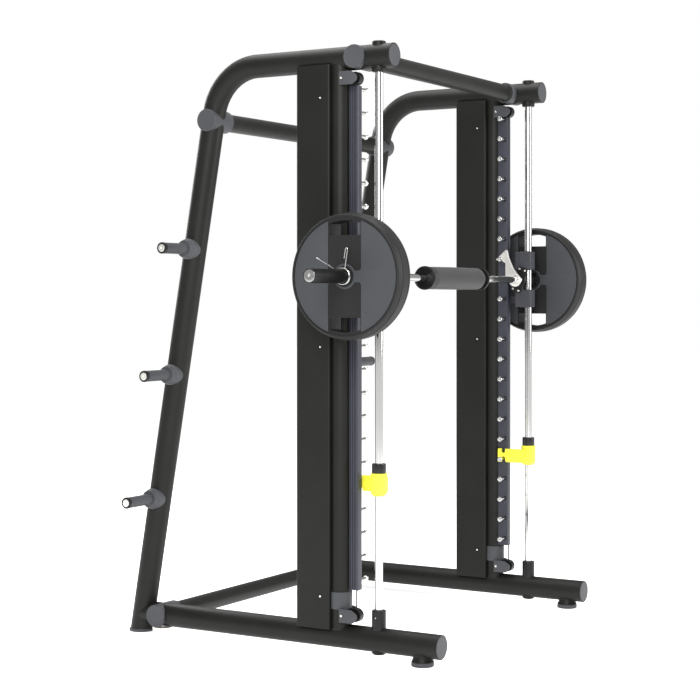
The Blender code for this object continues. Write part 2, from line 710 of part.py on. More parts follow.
def make_safety_stop(side, tag):
    """The stop: a sleeve on the guide rod with an arm notched to sit over a peg."""
    plane = side * FRAME_HALF
    low, high, radius, bore = STOP_Z - 0.024, STOP_Z + 0.058, 0.0300, clear_of(ROD_R)
    piece = turned(
        "safety_stop_" + tag,
        [(radius, high - 0.003), (radius, low + 0.010), (radius - 0.003, low + 0.003), (radius - 0.010, low),
         (bore, low), (bore, high), (radius - 0.003, high)],
        (plane, ROD_Y, 0), (0, 0, 1), YELLOW, closed=True,
    )
    arm_x = side_span(side, 0.0310, 0.0430)
    tip_y, arm_low, arm_high = ROD_Y + 0.1235, STOP_Z - 0.014, STOP_Z + 0.043
    seat_r = PEG_R + 0.0010
    outline = [(ROD_Y - 0.020, arm_low), (PEG_Y - seat_r, arm_low)]
    outline += arc((PEG_Y, STOP_Z), seat_r, 180, 0, 6)
    outline += [(PEG_Y + seat_r, arm_low), (tip_y, arm_low), (tip_y, arm_high), (PEG_Y + seat_r, arm_high)]
    outline += arc((PEG_Y, arm_high - 0.008), seat_r, 0, -180, 6)
    outline += [(PEG_Y - seat_r, arm_high), (ROD_Y - 0.020, arm_high)]
    boss_x = side_span(side, 0.012, 0.0330)
    join(
        piece,
        flat(f"stop_arm_{tag}", [outline], *arm_x),
        box(f"stop_boss_{tag}", (boss_x[0], ROD_Y - 0.0195, arm_low + 0.0005),
            (boss_x[1], ROD_Y + 0.0195, arm_high - 0.0005)),
    )
    cut(piece, cylinder(f"stop_bore_{tag}", bore, (plane, ROD_Y, low - 0.02), (plane, ROD_Y, high + 0.02)))
    return piece


for side, tag in ((-1, "left"), (1, "right")):
    make_frame_tube(side, tag)
    make_base_rail(side, tag)
    for where in HUBS:
        make_hub(where, side, tag)
    make_cover(side, tag)
    make_post(side, tag)
    make_rack(side, tag)
    make_guide_rod(side, tag)
    make_socket(side, tag)
    make_front_foot(side, tag)
    make_rear_foot(side, tag)
    for number, horn_z in enumerate(HORN_Z, 1):
        make_horn(side, tag, number, horn_z)
    for level, pulley_z in zip(("bottom", "top"), PULLEY_Z):
        make_bracket(side, tag, level, pulley_z)
        make_pulley(side, tag, level, pulley_z)
    make_cable(side, tag)
    make_counterweight(side, tag)
    make_carriage(side, tag)
    make_hook(side, tag)
    make_plate(side, tag)
    make_clip(side, tag)
    make_stop_bumper(side, tag)
    make_safety_stop(side, tag)
for where in HUBS:
    make_cross_tube(where)
make_bar()
make_pad()
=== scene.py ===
"""Looks of the smith machine: smooth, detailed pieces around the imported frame, in metres and in its frame.

"Outwards" below means away from the machine's middle, measured from a side frame's own plane.
"""

import json
from math import acos, asin, atan, cos, pi, radians, sin, tan

import bmesh
import bpy
from mathutils import Matrix, Vector

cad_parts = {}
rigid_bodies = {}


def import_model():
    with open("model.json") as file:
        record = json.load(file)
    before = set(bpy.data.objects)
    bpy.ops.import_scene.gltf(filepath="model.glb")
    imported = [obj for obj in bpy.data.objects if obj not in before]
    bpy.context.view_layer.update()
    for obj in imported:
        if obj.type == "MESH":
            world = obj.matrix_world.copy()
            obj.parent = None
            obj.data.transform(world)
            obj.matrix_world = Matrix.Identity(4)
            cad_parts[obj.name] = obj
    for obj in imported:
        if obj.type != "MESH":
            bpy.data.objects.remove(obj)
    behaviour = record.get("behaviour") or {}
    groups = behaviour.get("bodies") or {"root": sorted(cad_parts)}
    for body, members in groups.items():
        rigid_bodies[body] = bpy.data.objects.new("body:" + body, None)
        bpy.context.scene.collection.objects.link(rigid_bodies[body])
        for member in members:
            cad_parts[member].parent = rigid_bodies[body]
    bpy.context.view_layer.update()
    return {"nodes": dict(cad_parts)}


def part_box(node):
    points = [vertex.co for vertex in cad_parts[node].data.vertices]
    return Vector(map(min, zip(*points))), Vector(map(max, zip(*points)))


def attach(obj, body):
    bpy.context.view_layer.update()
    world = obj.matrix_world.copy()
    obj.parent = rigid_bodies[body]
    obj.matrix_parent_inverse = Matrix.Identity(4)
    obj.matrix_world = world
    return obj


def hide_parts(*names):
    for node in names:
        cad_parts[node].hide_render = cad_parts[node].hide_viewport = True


for old in list(bpy.data.objects):
    bpy.data.objects.remove(old)

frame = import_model()


def centre(node):
    low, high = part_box(node)
    return (low + high) / 2


# Places read from the frame
HALF = centre("guide_rod_right").x
ROD_Y = centre("guide_rod_right").y
BAR_Y, BAR_Z = centre("bar").y, centre("bar").z
HUBS = {where: centre(f"hub_{where}_right") for where in ("top_front", "rear_upper", "rear_lower")}
TOP_Z = HUBS["top_front"].z
RAIL_Z = HUBS["rear_lower"].z
HORNS = [centre(f"plate_horn_right_{number}") for number in (1, 2, 3)]
LEG_SLOPE = (HORNS[2].y - HORNS[0].y) / (HORNS[0].z - HORNS[2].z)
FRONT_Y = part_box("base_rail_right")[0].y
TOP_FRONT_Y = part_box("frame_tube_right")[0].y
RACK_LOW, RACK_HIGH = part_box("peg_rack_right")
RACK_INNER, RACK_OUTER = 0.0254, 0.004  # inwards and outwards from the frame's plane
SLEEVE_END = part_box("bar")[1].x - HALF

# Sizes of the pieces
TUBE_R = 0.044
CROSS_R = 0.034
BEND_R = 0.200
LIP = 0.004  # the tubes' open ends reach this far past their caps' seats
ROD_R = 0.015
BAR_R = 0.0145
SLEEVE_R = 0.025
SLEEVE_START = 0.060
HUB_R = 0.0425
HUB_OUT, HUB_IN = 0.052, 0.073
PEG_COUNT = 22
PEG_PITCH = 0.085
PEG_TOP_Z = RACK_HIGH.z - 0.010
PEG_Y = ROD_Y + 0.0985
PEG_HEAD_X = 0.079  # inwards
STOP_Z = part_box("safety_stop_right")[0].z + 0.024
PLATE_NEAR, PLATE_FAR = 0.104, 0.192
PLATE_R = 0.225
INSERT_R = 0.2075
BAND_HALF = 0.0675
SMOOTH = 64


def leg_y(z):
    return HORNS[0].y + (HORNS[0].z - z) * LEG_SLOPE


# ---------------------------------------------------------------- materials


def surface(name, colour, rough, metallic=0.0, grain=900.0, depth=0.00005, mottle=0.10, rough_spread=0.06,
            stretch=(1, 1, 1), coat=0.0, sheen=0.0, specular=0.5):
    """A Principled surface with fine grain in its bump, slow mottling in its colour and uneven roughness."""
    made = bpy.data.materials.new(name)
    made.use_nodes = True
    tree = made.node_tree
    shader = tree.nodes["Principled BSDF"]
    shader.inputs["Metallic"].default_value = metallic
    shader.inputs["Coat Weight"].default_value = coat
    shader.inputs["Coat Roughness"].default_value = 0.12
    shader.inputs["Sheen Weight"].default_value = sheen
    shader.inputs["Specular IOR Level"].default_value = specular
    where = tree.nodes.new("ShaderNodeTexCoord")
    scale = tree.nodes.new("ShaderNodeMapping")
    scale.inputs["Scale"].default_value = stretch
    tree.links.new(where.outputs["Object"], scale.inputs["Vector"])

    def noise(size, detail):
        node = tree.nodes.new("ShaderNodeTexNoise")
        node.inputs["Scale"].default_value = size
        node.inputs["Detail"].default_value = detail
        tree.links.new(scale.outputs["Vector"], node.inputs["Vector"])
        return node

    slow, fine = noise(7.0, 5.0), noise(grain, 3.0)
    ramp = tree.nodes.new("ShaderNodeValToRGB")
    ramp.color_ramp.elements[0].position = 0.25
    ramp.color_ramp.elements[1].position = 0.75
    for element, share in zip(ramp.color_ramp.elements, (1 - mottle, 1 + mottle)):
        element.color = (*(min(1.0, c * share) for c in colour), 1.0)
    tree.links.new(slow.outputs["Fac"], ramp.inputs["Fac"])
    tree.links.new(ramp.outputs["Color"], shader.inputs["Base Color"])
    spread = tree.nodes.new("ShaderNodeMapRange")
    spread.inputs["To Min"].default_value = max(0.02, rough - rough_spread)
    spread.inputs["To Max"].default_value = rough + rough_spread
    tree.links.new(fine.outputs["Fac"], spread.inputs["Value"])
    tree.links.new(spread.outputs["Result"], shader.inputs["Roughness"])
    bump = tree.nodes.new("ShaderNodeBump")
    bump.inputs["Distance"].default_value = depth
    bump.inputs["Strength"].default_value = 0.6
    tree.links.new(fine.outputs["Fac"], bump.inputs["Height"])
    tree.links.new(bump.outputs["Normal"], shader.inputs["Normal"])
    return made


COAT = surface("black_powder_coat", (0.0080, 0.0080, 0.0068), 0.46, grain=650, depth=0.00014, mottle=0.18,
               specular=0.22)
SLATE = surface("slate_moulding", (0.056, 0.058, 0.063), 0.50, grain=1300, depth=0.00008, specular=0.25)
RACK = surface("rack_paint", (0.036, 0.038, 0.050), 0.38, grain=1100, specular=0.35)
BLOCK = surface("carriage_paint", (0.040, 0.041, 0.048), 0.45, grain=1000, specular=0.25)
CHROME = surface("polished_chrome", (0.56, 0.56, 0.55), 0.10, 1.0, grain=60, depth=0.000004, mottle=0.02,
                 rough_spread=0.02)
STEEL = surface("satin_steel", (0.86, 0.84, 0.80), 0.34, 1.0, grain=500, depth=0.00002, mottle=0.04,
                stretch=(1, 1, 0.12))
YELLOW = surface("yellow_paint", (0.80, 0.76, 0.050), 0.36, grain=350, depth=0.00006, mottle=0.03, coat=0.15,
                 specular=0.3)
RUBBER = surface("moulded_rubber", (0.0115, 0.0115, 0.0112), 0.52, grain=1000, depth=0.0001, specular=0.25)
INSERT = surface("insert_rubber", (0.048, 0.051, 0.056), 0.60, grain=1500, depth=0.0001, specular=0.2)
BUMPER = surface("bumper_rubber", (0.006, 0.006, 0.006), 0.24, grain=600, depth=0.00004, specular=0.4)
NYLON = surface("black_nylon", (0.006, 0.006, 0.006), 0.34, grain=1200, specular=0.3)
SHEATH = surface("cable_sheath", (0.008, 0.008, 0.008), 0.40, grain=1500)
FOAM = surface("pad_foam", (0.017, 0.017, 0.017), 0.55, grain=1800, depth=0.0002, sheen=0.1, specular=0.3)
IRON = surface("raw_iron", (0.050, 0.050, 0.052), 0.65, grain=400, depth=0.0003)


# ---------------------------------------------------------------- mesh helpers


def piece(name, mesh, material, body, slot, *nodes):
    made = bpy.data.objects.new(name, mesh)
    bpy.context.scene.collection.objects.link(made)
    mesh.materials.clear()
    mesh.materials.append(material)
    mesh.shade_smooth()
    mesh.set_sharp_from_angle(angle=radians(32))
    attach(made, body)
    if nodes:
        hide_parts(*nodes)
    return made


def rounded(points, radius, steps=4, closed=False):
    """The outline with each corner rounded. A point may carry its own radius as a third number."""
    made, count = [], len(points)
    for i, point in enumerate(points):
        corner = Vector(point[:2])
        reach = point[2] if len(point) > 2 else radius
        if not closed and i in (0, count - 1) or reach <= 0:
            made.append(tuple(corner))
            continue
        before = Vector(points[i - 1][:2]) - corner
        after = Vector(points[(i + 1) % count][:2]) - corner
        reach = min(reach, before.length * 0.49, after.length * 0.49)
        start, end = corner + before.normalized() * reach, corner + after.normalized() * reach
        for step in range(steps + 1):
            t = step / steps
            made.append(tuple(start * (1 - t) ** 2 + corner * 2 * t * (1 - t) + end * t * t))
    return made


def sharp(points):
    """The same points, marked to stay unrounded."""
    return [(y, z, 0) for y, z in points]


def lathe(profile, at, axis, steps=SMOOTH):
    """A turned mesh: profile holds (radius, height) points, with height along axis from the point at."""
    mesh = bmesh.new()
    turn = Vector(axis).to_track_quat("Z", "Y").to_matrix()
    rings = []
    for radius, height in profile:
        if radius < 1e-6:
            rings.append([mesh.verts.new(turn @ Vector((0, 0, height)) + Vector(at))])
            continue
        rings.append([
            mesh.verts.new(turn @ Vector((radius * cos(a), radius * sin(a), height)) + Vector(at))
            for a in (2 * pi * i / steps for i in range(steps))
        ])
    for low, high in zip(rings, rings[1:]):
        for i in range(steps):
            j = (i + 1) % steps
            if len(low) == 1:
                mesh.faces.new((low[0], high[j], high[i]))
            elif len(high) == 1:
                mesh.faces.new((low[i], low[j], high[0]))
            else:
                mesh.faces.new((low[i], low[j], high[j], high[i]))
    return to_mesh(mesh)


def ring(profile, at, axis, steps=SMOOTH):
    """A turned mesh whose profile is a closed loop."""
    return lathe([*profile, profile[0]], at, axis, steps)


def to_mesh(made):
    bmesh.ops.remove_doubles(made, verts=made.verts, dist=1e-6)
    bmesh.ops.recalc_face_normals(made, faces=made.faces)
    mesh = bpy.data.meshes.new("made")
    made.to_mesh(mesh)
    made.free()
    return mesh


def rod(radius, start, end, edge=0.001, steps=SMOOTH):
    """A round bar with softened ends."""
    start, end = Vector(start), Vector(end)
    length = (end - start).length
    profile = rounded([(0, 0), (radius, 0), (radius, length), (0, length)], edge)
    return lathe(profile, start, end - start, steps)


def sweep(points, radius, sides=40, closed=False):
    """A round tube along points, its cross section carried along without twist."""
    points = [Vector(p) for p in points]
    count = len(points)
    made = bmesh.new()
    across, rings = None, []
    for i, point in enumerate(points):
        ahead = points[(i + 1) % count] if closed or i < count - 1 else point
        behind = points[i - 1] if closed or i > 0 else point
        along = (ahead - behind).normalized()
        if across is None:
            across = along.orthogonal()
        across = (across - along * across.dot(along)).normalized()
        other = along.cross(across)
        rings.append([
            made.verts.new(point + (across * cos(a) + other * sin(a)) * radius)
            for a in (2 * pi * k / sides for k in range(sides))
        ])
    pairs = list(zip(rings, rings[1:]))
    if closed:
        pairs.append((rings[-1], rings[0]))
    for low, high in pairs:
        for k in range(sides):
            made.faces.new((low[k], low[(k + 1) % sides], high[(k + 1) % sides], high[k]))
    if not closed:
        made.faces.new(rings[0][::-1])
        made.faces.new(rings[-1])
    return to_mesh(made)


def block(low, high, edge=0.002, steps=3):
    """A box with rounded edges."""
    low, high = Vector(low), Vector(high)
    made = bmesh.new()
    bmesh.ops.create_cube(made, size=1.0)
    bmesh.ops.scale(made, vec=Vector(map(abs, high - low)), verts=made.verts)
    bmesh.ops.translate(made, vec=(low + high) / 2, verts=made.verts)
    bmesh.ops.bevel(made, geom=made.edges, offset=edge, segments=steps, profile=0.5, affect="EDGES")
    return to_mesh(made)


def slab(outlines, x_low, x_high, edge=0.0008):
    """A plate between two X positions from outlines of (y, z) points, later ones being holes."""
    x_low, x_high = sorted((x_low, x_high))
    curve = bpy.data.curves.new("slab", "CURVE")
    curve.dimensions = "2D"
    curve.fill_mode = "BOTH"
    curve.extrude = (x_high - x_low) / 2 - edge
    curve.bevel_depth = edge
    curve.bevel_resolution = 2
    curve.offset = -edge
    for outline in outlines:
        spline = curve.splines.new("POLY")
        spline.points.add(len(outline) - 1)
        for point, (y, z) in zip(spline.points, outline):
            point.co = (y, z, 0.0, 1.0)
        spline.use_cyclic_u = True
    holder = bpy.data.objects.new("slab", curve)
    bpy.context.scene.collection.objects.link(holder)
    graph = bpy.context.evaluated_depsgraph_get()
    mesh = bpy.data.meshes.new_from_object(holder.evaluated_get(graph))
    bpy.data.objects.remove(holder)
    made = bmesh.new()
    made.from_mesh(mesh)
    # the outline's x, y and depth become the machine's y, z and x
    to_frame = Matrix(((0, 0, 1, (x_low + x_high) / 2), (1, 0, 0, 0), (0, 1, 0, 0), (0, 0, 0, 1)))
    bmesh.ops.transform(made, matrix=to_frame, verts=made.verts)
    return to_mesh(made)


def prism(outline, z_low, z_high):
    """An upright solid, still in bmesh form, on an outline of (x, y) points."""
    made, count = bmesh.new(), len(outline)
    low, high = ([made.verts.new((x, y, z)) for x, y in outline] for z in (z_low, z_high))
    for i in range(count):
        j = (i + 1) % count
        made.faces.new((low[i], low[j], high[j], high[i]))
    made.faces.new(low[::-1])
    made.faces.new(high)
    return made


def soften_upright(made, offset, segments):
    """Rounds the long upright edges."""
    upright = [e for e in made.edges if abs(e.verts[0].co.z - e.verts[1].co.z) > 1]
    bmesh.ops.bevel(made, geom=upright, offset=offset, segments=segments, profile=0.5, affect="EDGES")


def join(*meshes):
    made = bmesh.new()
    for mesh in meshes:
        made.from_mesh(mesh)
    mesh = bpy.data.meshes.new("joined")
    made.to_mesh(mesh)
    made.free()
    return mesh


def cut(mesh, *cutters):
    """The mesh with closed cutter meshes taken out of it."""
    held = [bpy.data.objects.new("cut", m) for m in (mesh, *cutters)]
    for holder in held:
        bpy.context.scene.collection.objects.link(holder)
    for cutter in held[1:]:
        boolean = held[0].modifiers.new("cut", "BOOLEAN")
        boolean.operation = "DIFFERENCE"
        boolean.object = cutter
    graph = bpy.context.evaluated_depsgraph_get()
    made = bpy.data.meshes.new_from_object(held[0].evaluated_get(graph))
    for holder in held:
        bpy.data.objects.remove(holder)
    return made


def arc(middle, radius, start, end, steps):
    """Points (y, z) on an arc, angles in degrees from +Y towards +Z."""
    angles = [radians(start + (end - start) * i / steps) for i in range(steps + 1)]
    return [(middle[0] + radius * cos(a), middle[1] + radius * sin(a)) for a in angles]


def out(side, distance):
    """The X position a distance outwards from a side frame's plane."""
    return side * (HALF + distance)


def screw(at, axis, radius=0.004, height=0.0025):
    """A button-head screw with a hexagon socket."""
    socket = radius * 0.45
    profile = rounded([(0, height * 0.3), (socket, height * 0.3, 0), (socket, height), (radius * 0.8, height),
                       (radius, height * 0.35), (radius, -0.001), (0, -0.001)], 0.0004)
    return lathe(profile, at, axis, 24)


# ---------------------------------------------------------------- side frames


def make_frame_tube(side, tag):
    plane = side * HALF
    lean = atan(LEG_SLOPE)
    corner_y = leg_y(TOP_Z)
    turn = pi / 2 - lean
    middle_y, middle_z = corner_y - BEND_R * tan(turn / 2), TOP_Z - BEND_R
    steps = 28
    bend = [
        (plane, middle_y + BEND_R * cos(a), middle_z + BEND_R * sin(a))
        for a in (lean + turn * i / steps for i in range(steps + 1))
    ]
    foot_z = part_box("frame_tube_" + tag)[0].z
    tube = sweep([(plane, leg_y(foot_z), foot_z), *bend, (plane, TOP_FRONT_Y - LIP, TOP_Z)], TUBE_R, 56)
    collar_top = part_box("frame_tube_" + tag)[1].z
    collar = lathe(rounded([(0, 0), (0.0255, 0), (0.0255, collar_top - TOP_Z, 0.007),
                            (0, collar_top - TOP_Z)], 0),
                   (plane, ROD_Y, TOP_Z), (0, 0, 1))
    flange = ring(rounded([(ROD_R + 0.0004, -0.057), (0.0265, -0.057, 0.009), (0.0265, 0),
                           (ROD_R + 0.0004, 0)],
                          0.0005, closed=True), (plane, ROD_Y, TOP_Z), (0, 0, 1))
    piece("side_tube_" + tag, join(tube, collar, flange), COAT, "frame", "powder_coat", "frame_tube_" + tag)


def make_base_rail(side, tag):
    plane = side * HALF
    rail = rod(TUBE_R, (plane, FRONT_Y - LIP, RAIL_Z), (plane, leg_y(RAIL_Z), RAIL_Z), 0.0015)
    flange = rod(0.0265, (plane, ROD_Y, 0.021), (plane, ROD_Y, RAIL_Z), 0.012)
    piece("rail_" + tag, join(rail, flange), COAT, "frame", "powder_coat", "base_rail_" + tag)


def make_end_cap(name, side, front_y, z):
    """A pressed-in cap: a slightly domed disc inside the tube's edge."""
    radius = TUBE_R - 0.0028
    dome = [(0, LIP + 0.0012), (radius * 0.6, LIP + 0.0010), (radius - 0.002, LIP + 0.0006),
            (radius, LIP - 0.001), (radius, -0.002), (0, -0.002)]
    piece(name, lathe(dome, (side * HALF, front_y, z), (0, -1, 0)), SLATE, "frame", "slate_plastic")


def make_hub(where, side, tag):
    plane, at = side * HALF, HUBS[where]
    profile = rounded([(0, -HUB_IN), (HUB_R, -HUB_IN, 0.002), (HUB_R, HUB_OUT, 0.003),
                       (0.037, HUB_OUT, 0.001), (0.0362, HUB_OUT - 0.0008, 0.0005), (0, HUB_OUT - 0.0004)], 0)
    piece(f"hub_cap_{where}_{tag}", lathe(profile, (plane, at.y, at.z), (side, 0, 0)), SLATE, "frame",
          "slate_plastic", f"hub_{where}_{tag}")


def make_cross_tube(where):
    at, reach = HUBS[where], HALF - HUB_IN - 0.0003
    end_r = CROSS_R + 0.004
    half = [(0, reach), (end_r, reach, 0.0015), (end_r, reach - 0.008, 0.0015),
            (CROSS_R, reach - 0.010, 0.001)]
    profile = rounded([*half, *[(p[0], -p[1], *p[2:]) for p in reversed(half)]], 0)
    piece("cross_bar_" + where, lathe(profile, (0, at.y, at.z), (1, 0, 0)), COAT, "frame", "powder_coat",
          "cross_tube_" + where)


def make_cover(side, tag):
    """The folded sheet box behind the post, with its screws sunk in dark recesses on both faces."""
    low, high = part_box("column_cover_" + tag)
    made = bmesh.new()
    bmesh.ops.create_cube(made, size=1.0)
    bmesh.ops.scale(made, vec=high - low, verts=made.verts)
    bmesh.ops.translate(made, vec=(low + high) / 2, verts=made.verts)
    soften_upright(made, 0.007, 5)
    shell = to_mesh(made)
    screw_y, sunk, recesses, screws = low.y + 0.040, 0.0025, [], []
    for z in (high.z - 0.1195, high.z - 1.0244, high.z - 1.9295):
        for x, way in ((low.x, -1), (high.x, 1)):
            recesses.append(rod(0.0075, (x - way * sunk, screw_y, z), (x + way * 0.01, screw_y, z), 0.0, 32))
            screws.append(screw((x - way * sunk, screw_y, z), (way, 0, 0), 0.0042, 0.0024))
    shell = cut(shell, *recesses)
    piece("column_cover_shell_" + tag, shell, COAT, "frame", "powder_coat", "column_cover_" + tag)
    piece("cover_screws_" + tag, join(*screws), STEEL, "frame", "plated_steel")


def make_post(side, tag):
    low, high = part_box("column_post_" + tag)
    at, radius = (low + high) / 2, (high.x - low.x) / 2
    wall = sweep([(at.x, at.y, low.z), (at.x, at.y, high.z)], radius)
    made = bmesh.new()
    made.from_mesh(wall)
    bmesh.ops.delete(made, geom=[f for f in made.faces if len(f.verts) > 4], context="FACES")
    made.to_mesh(wall)
    made.free()
    piece("round_post_" + tag, wall, COAT, "frame", "powder_coat", "column_post_" + tag)
    collar = ring(rounded([(radius, 0.174), (radius + 0.003, 0.174), (radius + 0.003, 0.236),
                           (radius, 0.236)],
                          0.001, closed=True), (at.x, at.y, 0), (0, 0, 1))
    piece("post_collar_" + tag, collar, SLATE, "frame", "slate_plastic")


def make_rack(side, tag):
    """The folded channel with grooves down its outer side, and the tapered pegs with dimpled heads."""
    plane, rear, front = side * HALF, RACK_HIGH.y, RACK_LOW.y
    inner, outer = out(side, -RACK_INNER), out(side, RACK_OUTER)
    groove, step = outer - side * 0.004, (rear - front) / 9
    outline = [(inner, front), (outer, front)]
    for start in (2, 4, 6):
        outline += [(outer, front + start * step), (groove, front + (start + 0.15) * step),
                    (groove, front + (start + 0.85) * step), (outer, front + (start + 1) * step)]
    outline += [(outer, rear), (inner, rear)]
    folded = prism(outline, RACK_LOW.z, RACK_HIGH.z)
    soften_upright(folded, 0.0007, 2)
    channel = to_mesh(folded)
    pegs, seats = [], []
    for i in range(PEG_COUNT):
        at = (plane, PEG_Y, PEG_TOP_Z - i * PEG_PITCH)
        start = RACK_INNER
        profile = [(0, start - 0.001), (0.0050, start - 0.001), (0.0052, start + 0.004),
                   (0.0072, 0.0680, 0.002),
                   (0.0096, 0.0725, 0.002), (0.0105, 0.0750, 0.002), (0.0098, 0.0780, 0.002),
                   (0.0055, PEG_HEAD_X, 0.001),
                   (0.0034, PEG_HEAD_X - 0.0003, 0.0005), (0.0022, PEG_HEAD_X - 0.0026, 0.0005),
                   (0, PEG_HEAD_X - 0.0030)]
        pegs.append(lathe(rounded(profile, 0), at, (-side, 0, 0), 32))
        seats.append(lathe(rounded([(0, start), (0.0092, start), (0.0092, start + 0.0016),
                                    (0, start + 0.0016)], 0.0005),
                           at, (-side, 0, 0), 32))
    piece("rack_channel_" + tag, channel, RACK, "frame", "rack_steel", "peg_rack_" + tag)
    piece("rack_pegs_" + tag, join(*pegs), CHROME, "frame", "chrome")
    piece("peg_seats_" + tag, join(*seats), NYLON, "frame", "black_nylon")


def make_rod_and_socket(side, tag):
    plane = side * HALF
    low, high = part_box("guide_rod_" + tag)
    piece("slide_rod_" + tag, rod(ROD_R, (plane, ROD_Y, low.z), (plane, ROD_Y, high.z)), CHROME, "frame",
          "chrome", "guide_rod_" + tag)
    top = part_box("rod_socket_" + tag)[1].z
    sleeve = ring(rounded([(ROD_R + 0.0005, RAIL_Z), (0.0258, RAIL_Z, 0), (0.0258, top, 0.004),
                           (ROD_R + 0.0005, top)],
                          0.0008, closed=True), (plane, ROD_Y, 0), (0, 0, 1))
    piece("rod_sleeve_" + tag, sleeve, NYLON, "frame", "powder_coat", "rod_socket_" + tag)
    grub = screw((out(side, 0.0252), ROD_Y, top - 0.026), (side, 0, 0), 0.0026, 0.0010)
    piece("socket_grub_screw_" + tag, grub, STEEL, "frame", "plated_steel")


def make_feet(side, tag):
    plane, foot = side * HALF, centre("front_foot_" + tag)
    boss = [(0, 0.056), (0.0330, 0.056), (0.0335, 0.034), (0.0370, 0.0225), (0.0398, 0.0185),
            (0.0398, 0.0155), (0, 0.0155)]
    pad = [(0, 0), (0.0380, 0), (0.0405, 0.0025), (0.0405, 0.0150), (0.0385, 0.0160), (0, 0.0160)]
    piece("foot_boss_" + tag, lathe(rounded(boss, 0.004), (plane, foot.y, 0), (0, 0, 1)), COAT, "frame",
          "powder_coat")
    piece("foot_pad_" + tag, lathe(rounded(pad, 0.001), (plane, foot.y, 0), (0, 0, 1)), SLATE, "frame",
          "slate_plastic", "front_foot_" + tag)
    rear, high = centre("rear_foot_" + tag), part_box("rear_foot_" + tag)[1].z
    radius = (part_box("rear_foot_" + tag)[1].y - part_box("rear_foot_" + tag)[0].y) / 2
    flange = [(0, 0), (radius - 0.002, 0), (radius, 0.002), (radius, high - 0.003), (radius - 0.003, high),
              (0, high)]
    piece("leg_flange_" + tag, lathe(rounded(flange, 0.001), (plane, rear.y, 0), (0, 0, 1)), SLATE, "frame",
          "slate_plastic", "rear_foot_" + tag)


def make_leveller(side, tag):
    """The ribbed adjuster under the rail's rear end, with the threaded stud that holds it."""
    plane, y, ribs, height = side * HALF, ROD_Y + 0.9665, 36, 0.025
    spots = [(0.040 if i % 4 < 2 else 0.0385, 2 * pi * i / (4 * ribs)) for i in range(4 * ribs)]
    outline = [(plane + r * cos(a), y + r * sin(a)) for r, a in spots]
    grip = to_mesh(prism(outline, 0.002, height))
    stud = rod(0.008, (plane, y, 0.020), (plane, y, RAIL_Z), 0.0)
    wheel = join(grip, stud)
    piece("leveller_" + tag, wheel, STEEL, "frame", "plated_steel")


def make_horn(side, tag, number):
    low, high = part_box(f"plate_horn_{tag}_{number}")
    at, length = centre(f"plate_horn_{tag}_{number}"), max(abs(low.x), abs(high.x)) - HALF
    origin, axis, collar_end = (side * HALF, at.y, at.z), (side, 0, 0), 0.074
    collar = rounded([(0, 0.020), (0.040, 0.020), (0.040, 0.0535, 0.003), (0.0350, 0.0600, 0.001),
                      (0.0342, 0.0610, 0.0005), (0.0342, collar_end, 0.005), (0, collar_end)], 0)
    stem = rounded([(0, collar_end - 0.002), (0.0208, collar_end - 0.002), (0.0208, length - 0.012),
                    (0, length - 0.012)], 0)
    tip = rounded([(0, length - 0.012), (0.0217, length - 0.012), (0.0217, length - 0.001, 0.003),
                   (0.0148, length - 0.001), (0.0148, length - 0.003), (0, length - 0.003)], 0.0005)
    disc = rounded([(0, length - 0.0035), (0.0142, length - 0.0035), (0.0142, length, 0.0012),
                    (0.0034, length, 0.0004), (0.0026, length - 0.0022, 0.0004), (0, length - 0.0026)], 0)
    piece(f"horn_{tag}_{number}", join(lathe(collar, origin, axis), lathe(stem, origin, axis)), SLATE,
          "frame", "slate_plastic", f"plate_horn_{tag}_{number}")
    piece(f"horn_ring_{tag}_{number}", lathe(tip, origin, axis), NYLON, "frame", "black_nylon")
    piece(f"horn_disc_{tag}_{number}", lathe(disc, origin, axis), STEEL, "frame", "plated_steel")


# ---------------------------------------------------------------- counterbalance


def make_bracket(side, tag, level):
    """Two cheeks on the post and a black guard round the pulley. The cheek at -X is the longer one."""
    low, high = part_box(f"pulley_bracket_{level}_{tag}")
    plane, axle = side * HALF, centre(f"pulley_{level}_{tag}")
    middle_z, thick, guard_r = axle.z, 0.005, 0.0242

    def cheek(front, x):
        shape = [(high.y, low.z, 0.003), (high.y, high.z, 0.003), (front + 0.028, high.z, 0.006),
                 (front + 0.002, middle_z + 0.009, 0.010), (front + 0.002, middle_z - 0.009, 0.010),
                 (front + 0.022, low.z, 0.006)]
        return slab([rounded(shape, 0, 6, closed=True)], x, x + thick, 0.001)

    cheeks = join(cheek(low.y, low.x), cheek(ROD_Y + 0.098, high.x - thick))
    piece(f"bracket_cheeks_{level}_{tag}", cheeks, SLATE, "frame", "slate_plastic",
          f"pulley_bracket_{level}_{tag}")
    guard_y = ROD_Y + 0.0698 + guard_r
    disc = arc((guard_y, middle_z), guard_r, 0, 360, 40)[:-1]
    sides = [slab([disc], plane + way * 0.0095, plane + way * 0.0135, 0.0012) for way in (1, -1)]
    front = arc((guard_y, middle_z), guard_r - 0.0004, 105, 255, 20)
    front += arc((guard_y, middle_z), guard_r - 0.0045, 255, 105, 20)
    bridge = slab([front], plane - 0.010, plane + 0.010, 0.0005)
    pin = rod(0.0037, (low.x + 0.004, axle.y, axle.z), (high.x - 0.004, axle.y, axle.z), 0.0, 24)
    piece(f"bracket_guard_{level}_{tag}", join(*sides, bridge, pin), NYLON, "frame", "black_nylon")
    ends = ((low.x, -1), (high.x, 1))
    screws = [screw((x, high.y - 0.010, middle_z), (way, 0, 0), 0.0048) for x, way in ends]
    piece(f"bracket_screws_{level}_{tag}", join(*screws), STEEL, "frame", "plated_steel")


